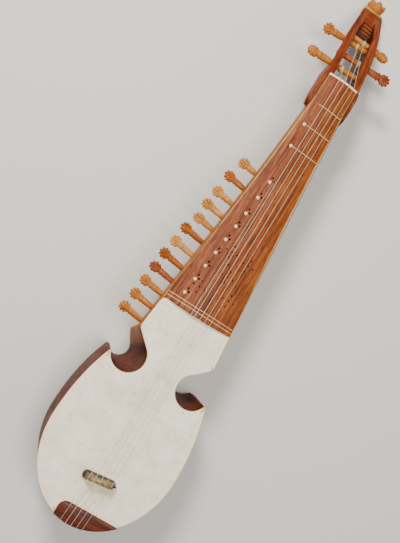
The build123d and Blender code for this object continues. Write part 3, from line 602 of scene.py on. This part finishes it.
def makeSkin():
    low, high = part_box("skin")
    bm = bmesh.new()
    bm.from_mesh(frame["nodes"]["skin"].data)
    bmesh.ops.remove_doubles(bm, verts=bm.verts, dist=0.01 * mm)
    bmesh.ops.dissolve_limit(bm, angle_limit=0.01, verts=bm.verts, edges=bm.edges)
    top = [face for face in bm.faces if face.normal.z > 0.9]
    for inset in (skinLook["rollMm"] / 2, skinLook["rollMm"] / 2, skinLook["rimMm"] - skinLook["rollMm"]):
        bmesh.ops.inset_region(bm, faces=top, thickness=inset * mm, use_even_offset=True)
        top = [face for face in bm.faces if face.normal.z > 0.9 and face in set(top)]
    cutInStrips(bm, low, high, skinLook["cellMm"] * mm)
    edges = [edge for edge in bm.edges if edge.calc_face_angle(0) > 1.0]
    samples = [edge.verts[0].co.lerp(edge.verts[1].co, k / 4) for edge in edges for k in range(5)
               if edge.verts[0].co.z > high.z - 0.2 * mm and edge.verts[1].co.z > high.z - 0.2 * mm]
    near = KDTree(len(samples))
    for i, point in enumerate(samples):
        near.insert(point, i)
    near.balance()
    rim = bm.verts.layers.float.new("rim")
    for vert in bm.verts:
        away = near.find(vert.co)[2] / mm
        vert[rim] = max(0.0, 1 - away / skinLook["rimMm"])
        if vert.co.z > high.z - 0.2 * mm:
            roll = max(0.0, 1 - away / skinLook["rollMm"]) ** 2
            swell = noise.noise(vert.co / (45 * mm)) * min(1.0, away / 20)
            vert.co.z += (skinLook["swellMm"] * swell - 0.7 * roll) * mm
    finishPiece(linkPiece("stretchedSkin", meshFrom(bm, 40)), skinStuff, ["skin"])


makeSkin()
print("skin stretched")

# Beads that follow a path: mouldings, scrolls and strings

beadLook = {"sides": 12, "stepMm": 0.8}


def beadTree(material):
    # A round bead along a smooth path, full in its middle and drawn in towards its ends.
    tree, sizes = startTree("roundBead", {"radius": 0.001, "drawn": 0.0, "step": beadLook["stepMm"] * mm})
    path = addNode(tree, "GeometryNodeMeshToCurve", {0: sizes["Geometry"]})
    smooth = addNode(tree, "GeometryNodeCurveSplineType", {0: path}, spline_type="NURBS")
    even = addNode(tree, "GeometryNodeResampleCurve", {"Curve": smooth, "Length": sizes["step"]}, mode="LENGTH")
    along = addNode(tree, "GeometryNodeSplineParameter")
    middle = addNode(tree, "ShaderNodeMath", {0: along, 1: 2.0, 2: -1.0}, operation="MULTIPLY_ADD")
    away = addNode(tree, "ShaderNodeMath", {0: middle}, operation="ABSOLUTE")
    sharp = addNode(tree, "ShaderNodeMath", {0: away, 1: 6.0}, operation="POWER")
    thin = addNode(tree, "ShaderNodeMath", {0: sharp, 1: sizes["drawn"]}, operation="MULTIPLY")
    full = addNode(tree, "ShaderNodeMath", {0: 1.0, 1: thin}, operation="SUBTRACT")
    wide = addNode(tree, "ShaderNodeMath", {0: full, 1: sizes["radius"]}, operation="MULTIPLY")
    profile = addNode(tree, "GeometryNodeCurvePrimitiveCircle", {"Resolution": beadLook["sides"], "Radius": 1.0})
    tube = addNode(tree, "GeometryNodeCurveToMesh", {"Curve": even, "Profile Curve": profile, "Scale": wide,
                                                     "Fill Caps": True})
    endTree(tree, tube, material)
    return tree


def bead(name, points, radiusMm, material, drawn=0.0):
    mesh = bpy.data.meshes.new(name)
    steps = [(i, i + 1) for i in range(len(points) - 1)]
    mesh.from_pydata([tuple(c * mm for c in point) for point in points], steps, [])
    return grow(name, beadTree(material), {"radius": radiusMm * mm, "drawn": drawn}, mesh)


def joined(name, pieces):
    # Several bodies of one piece as one mesh.
    bm = bmesh.new()
    for piece in pieces:
        bm.from_mesh(piece.data)
        bpy.data.objects.remove(piece)
    return linkPiece(name, meshFrom(bm, 45))


# Bridge

bridgeLook = {
    "turnDeg": 6.0,
    "thicker": 1.2,                    # the carved block is thicker than the solid it stands for
    "footMm": (27.0, 7.4, 1.3),        # half length, half width and thickness of the black foot
    "ribsAt": (-24.2, -21.6, -19.0, -16.4),
    "ribMm": 0.85,
    "scrollAt": (23.8, 5.2),           # along the bridge, and above the skin
    "scrollMm": (3.6, 0.9),            # radius of the curl at its start and end
    "scrollTurns": 1.4,
    "scrollBeadMm": 1.5,
}


def bridgeFrame():
    low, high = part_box("bridge")
    place = Vector(((low.x + high.x) / 2, (low.y + high.y) / 2, low.z))
    return Matrix.Translation(place) @ Matrix.Rotation(math.radians(bridgeLook["turnDeg"]), 4, "Z")


def footPlate():
    halfLength, halfWidth, thick = bridgeLook["footMm"]
    bm = bmesh.new()
    lower = []
    for end in (1, -1):
        for step in range(9):
            turn = math.pi * (step / 8 - 0.5)
            x = end * (halfLength - halfWidth + halfWidth * math.cos(turn))
            y = end * halfWidth * math.sin(turn)
            lower.append(bm.verts.new((x * mm, y * mm, 0.05 * mm)))
    bm.faces.new(lower[::-1])
    raised = bmesh.ops.extrude_face_region(bm, geom=bm.faces[:])
    upper = [item for item in raised["geom"] if isinstance(item, bmesh.types.BMVert)]
    bmesh.ops.translate(bm, vec=(0, 0, thick * mm), verts=upper)
    foot = linkPiece("bridgeFootPlate", meshFrom(bm, 30))
    bevel = foot.modifiers.new("rounding", "BEVEL")
    bevel.width = 0.5 * mm
    bevel.segments = 3
    bevel.limit_method = "ANGLE"
    return settle(foot)


def makeBridge():
    # The arched horn bridge, ribbed at its left end, with a scroll at its right, on a black foot.
    seat = bridgeFrame()
    block = roundedCopy("bridge", "carvedBridge", 0.45, flatDeg=2, segments=3)
    block.data.transform(seat @ Matrix.Scale(bridgeLook["thicker"], 4, (0, 1, 0)) @ seat.inverted())
    finishPiece(block, hornStuff, ["bridge"])
    x, z = bridgeLook["scrollAt"]
    wide, narrow = bridgeLook["scrollMm"]
    curl = []
    for step in range(27):
        turn = 2 * math.pi * bridgeLook["scrollTurns"] * step / 26
        reach = wide + (narrow - wide) * step / 26
        curl.append((x + reach * math.sin(turn), 0, z - reach * math.cos(turn)))
    parts = [footPlate(), bead("bridgeScroll", curl, bridgeLook["scrollBeadMm"], hornDark, 0.3)]
    for x in bridgeLook["ribsAt"]:
        rise = 5.2 + 0.62 * (x + 25)      # the ribs grow with the arch
        turns = [math.pi * step / 12 for step in range(13)]
        arch = [(x, 6.0 * math.cos(turn), 0.8 + rise * math.sin(turn)) for turn in turns]
        parts.append(bead("bridgeRib", arch, bridgeLook["ribMm"], hornDark, 0.2))
    trim = joined("bridgeCarving", parts)
    trim.data.transform(seat)
    finishPiece(trim, hornDark, [], bodyOf["bridge"])


makeBridge()
print("bridge carved")

# Dark lines beside the board's edge strips, painted shade for the shadowed gap there

lineLook = {"beadMm": 0.5, "points": 24, "endMm": 4.0}


def makeShadowLines():
    # Each line follows the inner top edge of an edge strip, found at the strip's two ends.
    parts = []
    for side, node in ((-1, "edge_strip_left"), (1, "edge_strip_right")):
        low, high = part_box(node)
        verts = [vert.co for vert in frame["nodes"][node].data.vertices]
        ends = []
        for y in (low.y, high.y):
            near = [co for co in verts if abs(co.y - y) < lineLook["endMm"] * mm]
            ends.append(max(near, key=lambda co: co.z - side * co.x) / mm)
        path = [tuple(ends[0].lerp(ends[1], step / lineLook["points"])) for step in range(lineLook["points"] + 1)]
        parts.append(bead("shadowGapLine", path, lineLook["beadMm"], shadowLineStuff))
    piece = joined("shadowGapLines", parts)
    finishPiece(piece, shadowLineStuff, [], bodyOf["fingerboard"])


makeShadowLines()
print("lines let in")

# Studs, pins and frets

studLook = {"radius": 2.4, "dome": 1.3, "collar": 0.35}     # in mm


def islands(node):
    # The middle of each separate solid of a node.
    bm = bmesh.new()
    bm.from_mesh(frame["nodes"][node].data)
    bmesh.ops.remove_doubles(bm, verts=bm.verts, dist=0.01 * mm)
    found, seen = [], set()
    for first in bm.verts:
        if first in seen:
            continue
        group, queue = [], [first]
        seen.add(first)
        while queue:
            vert = queue.pop()
            group.append(vert.co.copy())
            for edge in vert.link_edges:
                other = edge.other_vert(vert)
                if other not in seen:
                    seen.add(other)
                    queue.append(other)
        low = Vector(min(p[i] for p in group) for i in range(3))
        high = Vector(max(p[i] for p in group) for i in range(3))
        found.append((low, high))
    bm.free()
    return found


def studTree():
    # A polished dome on a thin collar, set on each point.
    tree, sizes = startTree("boneStuds", {"radius": 0.0024, "dome": 0.0013, "collar": 0.0004})
    ball = addNode(tree, "GeometryNodeMeshUVSphere", {"Segments": 20, "Rings": 12, "Radius": 1.0})
    flat = addNode(tree, "ShaderNodeCombineXYZ", {0: sizes["radius"], 1: sizes["radius"], 2: sizes["dome"]})
    dome = addNode(tree, "GeometryNodeTransform", {"Geometry": ball, "Scale": flat})
    ring = addNode(tree, "GeometryNodeCurvePrimitiveCircle", {"Resolution": 20, "Radius": sizes["radius"]})
    edge = addNode(tree, "GeometryNodeCurvePrimitiveCircle", {"Resolution": 8, "Radius": sizes["collar"]})
    collar = addNode(tree, "GeometryNodeCurveToMesh", {"Curve": ring, "Profile Curve": edge})
    stud = addNode(tree, "GeometryNodeJoinGeometry", {0: [collar, dome]})
    spread = addNode(tree, "GeometryNodeInstanceOnPoints", {"Points": sizes["Geometry"], "Instance": stud})
    endTree(tree, spread, boneStuff)
    return tree


def makeStuds():
    sizes = {key: value * mm for key, value in studLook.items()}
    tops = bpy.data.meshes.new("studTops")
    tops.from_pydata([((low.x + high.x) / 2, (low.y + high.y) / 2, high.z - sizes["dome"])
                      for low, high in islands("string_studs")], [], [])
    finishPiece(grow("domedStuds", studTree(), sizes, tops), boneStuff, ["string_studs"])


makeStuds()


pinLook = {
    "reachMm": 2.2,            # the heads stand this much further out than the solids
    "profile": ((0, 0.5), (0.35, 0.88), (0.9, 1.0), (1.7, 0.98), (2.3, 0.74), (3.1, 0.72), (3.8, 0.86)),
}


def makePins():
    # Turned bone pins with a round head, as a file and a cloth leave them.
    bm = bmesh.new()
    for low, high in islands("tail_pins"):
        length = (high.y - low.y) / mm + pinLook["reachMm"]
        radius = (high.x - low.x) / 2 / mm
        part = bmesh.new()
        profile = [(along, share * radius) for along, share in pinLook["profile"]]
        turned(part, profile + [(length, profile[-1][1])], 16)
        middle = (low + high) / 2
        seat = Matrix.Translation((middle.x, low.y - pinLook["reachMm"] * mm, middle.z))
        part.transform(seat @ Matrix.Rotation(math.pi / 2, 4, "Z"))
        mesh = bpy.data.meshes.new("pin")
        part.to_mesh(mesh)
        part.free()
        bm.from_mesh(mesh)
    finishPiece(linkPiece("turnedPins", meshFrom(bm, 50)), boneStuff, ["tail_pins"])


makePins()

fretLook = {"strandMm": 0.34, "sides": 8}


def fretTree():
    # Gut tied round the neck: strands side by side that follow the board's crown.
    tree, sizes = startTree("gutFrets", {"strand": 0.0003, "count": 4.0})
    curve = addNode(tree, "GeometryNodeMeshToCurve", {0: sizes["Geometry"]})
    step = addNode(tree, "ShaderNodeMath", {0: sizes["strand"], 1: 2.0}, operation="MULTIPLY")
    offset = addNode(tree, "ShaderNodeCombineXYZ", {1: step})
    line = addNode(tree, "GeometryNodeMeshLine", {"Count": sizes["count"], "Offset": offset})
    spread = addNode(tree, "GeometryNodeInstanceOnPoints", {"Points": line, "Instance": curve})
    strands = addNode(tree, "GeometryNodeRealizeInstances", {0: spread})
    profile = addNode(tree, "GeometryNodeCurvePrimitiveCircle", {"Resolution": fretLook["sides"],
                                                                 "Radius": sizes["strand"]})
    tube = addNode(tree, "GeometryNodeCurveToMesh", {"Curve": strands, "Profile Curve": profile,
                                                     "Fill Caps": True})
    endTree(tree, tube, gutStuff)
    return tree


def makeFrets():
    tree = fretTree()
    strand = fretLook["strandMm"] * mm
    for index in range(3):
        node = f"fret_{index + 1}"
        low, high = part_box(node)
        crest = {}
        for vert in frame["nodes"][node].data.vertices:
            x = round(vert.co.x, 5)
            crest[x] = max(vert.co.z, crest.get(x, 0))
        mesh = bpy.data.meshes.new("fretLine")
        line = [(x, low.y + strand, z - strand) for x, z in sorted(crest.items())]
        mesh.from_pydata(line, [(i, i + 1) for i in range(len(line) - 1)], [])
        count = max(2, round((high.y - low.y) / (2 * strand)))
        piece = grow(node + "Gut", tree, {"strand": strand, "count": count}, mesh)
        finishPiece(piece, gutStuff, [node])


makeFrets()
print("studs, pins and frets set")

# Steps cut across the pocket at the far end of the pegbox

stepLook = {"at": (783.0, 789.0, 795.0, 801.0), "beadMm": 1.5, "sunkMm": 0.6}


def makeSteps():
    # Each step lies on the pocket's floor, from wall to wall, where rays find them.
    mesh = frame["nodes"]["pegbox"].data
    solid = BVHTree.FromPolygons([v.co for v in mesh.vertices], [list(p.vertices) for p in mesh.polygons])
    parts = []
    for y in stepLook["at"]:
        floor = solid.ray_cast(Vector((0, y * mm, 0.2)), Vector((0, 0, -1)))[0]
        height = floor.z + (stepLook["beadMm"] - stepLook["sunkMm"]) * mm
        wall = solid.ray_cast(Vector((0, y * mm, floor.z + 2 * mm)), Vector((1, 0, 0)))[0]
        path = [(wall.x / mm * share, y, height / mm) for share in (-0.98, -0.5, 0, 0.5, 0.98)]
        parts.append(bead("pocketStep", path, stepLook["beadMm"], headWood))
    piece = joined("pocketSteps", parts)
    finishPiece(piece, headWood, [], bodyOf["pegbox"])


makeSteps()

# Carved cheeks beside the nut

cheekLook = {
    "path": ((31.4, 664.0, 117.0), (32.2, 652.0, 117.2), (32.6, 636.0, 117.2), (32.8, 620.0, 115.8),
             (32.2, 609.5, 112.2), (31.2, 605.5, 106.6), (30.8, 607.5, 101.0), (31.2, 612.5, 99.0)),
    "beadMm": 2.7,
    "underMm": 1.2,
}


def makeCheeks():
    # A rounded carved bead runs down each cheek and curls under at its end, with a thinner one below it.
    parts = []
    for side in (-1, 1):
        path = [(side * x, y, z) for x, y, z in cheekLook["path"]]
        parts.append(bead("cheek", path, cheekLook["beadMm"], headWood, 0.45))
        inner = [(side * (31.2 - 0.02 * k), 668.0 - 9.0 * k, 110.5 - 0.12 * (k - 2) ** 2) for k in range(6)]
        parts.append(bead("cheek", inner, cheekLook["underMm"], headWood, 0.6))
    piece = joined("cheekBeads", parts)
    finishPiece(piece, headWood, [], bodyOf["pegbox"])


makeCheeks()
print("cheeks carved")

# Finial

budLook = {
    "petals": 6,
    "petalMm": (7.6, 4.6, 11.5),
    "ringMm": 9.6,
    "lean": 0.5,               # how far the petals lean out, 0 for upright
    "coreMm": (9.0, 9.0, 13.5),
    "footMm": 8.5,
}


def budTree():
    # Petals leaning out round a pointed core, each turned to face away from the middle.
    tree, sizes = startTree("carvedBud", {"ring": 0.0075, "lean": 60.0, "petals": 6.0})
    leaf = addNode(tree, "GeometryNodeMeshUVSphere", {"Segments": 24, "Rings": 16, "Radius": mm})
    petal = addNode(tree, "GeometryNodeTransform", {"Geometry": leaf, "Scale": budLook["petalMm"]})
    ring = addNode(tree, "GeometryNodeMeshCircle", {"Vertices": sizes["petals"], "Radius": sizes["ring"]})
    place = addNode(tree, "GeometryNodeInputPosition")
    outward = addNode(tree, "ShaderNodeVectorMath", {0: place, 3: sizes["lean"]}, operation="SCALE")
    up = addNode(tree, "ShaderNodeVectorMath", {0: outward, 1: (0, 0, 1)}, operation="ADD")
    lean = addNode(tree, "FunctionNodeAlignRotationToVector", {"Vector": up}, axis="Z")
    face = addNode(tree, "FunctionNodeAlignRotationToVector", {"Rotation": lean, "Vector": place}, axis="Y",
                   pivot_axis="Z")
    petals = addNode(tree, "GeometryNodeInstanceOnPoints", {"Points": ring, "Instance": petal, "Rotation": face})
    ball = addNode(tree, "GeometryNodeMeshUVSphere", {"Segments": 32, "Rings": 20, "Radius": mm})
    core = addNode(tree, "GeometryNodeTransform", {"Geometry": ball, "Scale": budLook["coreMm"]})
    both = addNode(tree, "GeometryNodeJoinGeometry", {0: [petals, core]})
    endTree(tree, both, pegWarm)
    return tree


def makeBud():
    low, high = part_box("finial_bud")
    ring = budLook["ringMm"] * mm
    sizes = {"ring": ring, "lean": budLook["lean"] / ring, "petals": budLook["petals"]}
    piece = grow("carvedBud", budTree(), sizes, smoothDeg=60)
    foot = Matrix.Translation((0, low.y + budLook["footMm"] * mm, (low.z + high.z) / 2))
    piece.data.transform(foot @ Matrix.Rotation(-math.pi / 2, 4, "X") @ Matrix.Rotation(math.pi / 2, 4, "Z"))
    finishPiece(piece, pegWarm, ["finial_bud"])


makeBud()
print("finial carved")

# Floor and light

studio = {
    "floorHex": "D9D8D4",
    "lights": (("key", (-1.1, 1.3, 1.8), 0.6, 64), ("fill", (1.5, 0.0, 1.7), 1.4, 7),
               ("top", (0.2, 0.2, 2.8), 1.2, 54)),     # name, place, size in metres and power in watts
    "lightHex": "FFFAF2",
    "skyHex": "F1F2F4",
    "skyStrength": 0.16,
}


def makeStudio():
    bpy.ops.mesh.primitive_plane_add(size=12, location=(0, 0.35, 0))
    floor = bpy.context.object
    floor.name = "paleFloor"
    material, tree, _ = startMaterial("paleFloor")
    endMaterial(tree, {"Base Color": toLinear(studio["floorHex"]), "Roughness": 0.9})
    floor.data.materials.append(material)
    aim = Vector((0, 0.3, 0.05))
    for name, place, size, power in studio["lights"]:
        data = bpy.data.lights.new(name, "AREA")
        data.shape = "DISK"
        data.size = size
        data.energy = power
        data.color = toLinear(studio["lightHex"])[:3]
        lamp = bpy.data.objects.new(name, data)
        lamp.location = place
        lamp.rotation_euler = (aim - Vector(place)).to_track_quat("-Z", "Y").to_euler()
        bpy.context.collection.objects.link(lamp)
    world = bpy.data.worlds.new("studioSky")
    world.use_nodes = True
    sky = world.node_tree.nodes["Background"]
    sky.inputs[0].default_value = toLinear(studio["skyHex"])
    sky.inputs[1].default_value = studio["skyStrength"]
    bpy.context.scene.world = world


makeStudio()
print("studio lit")
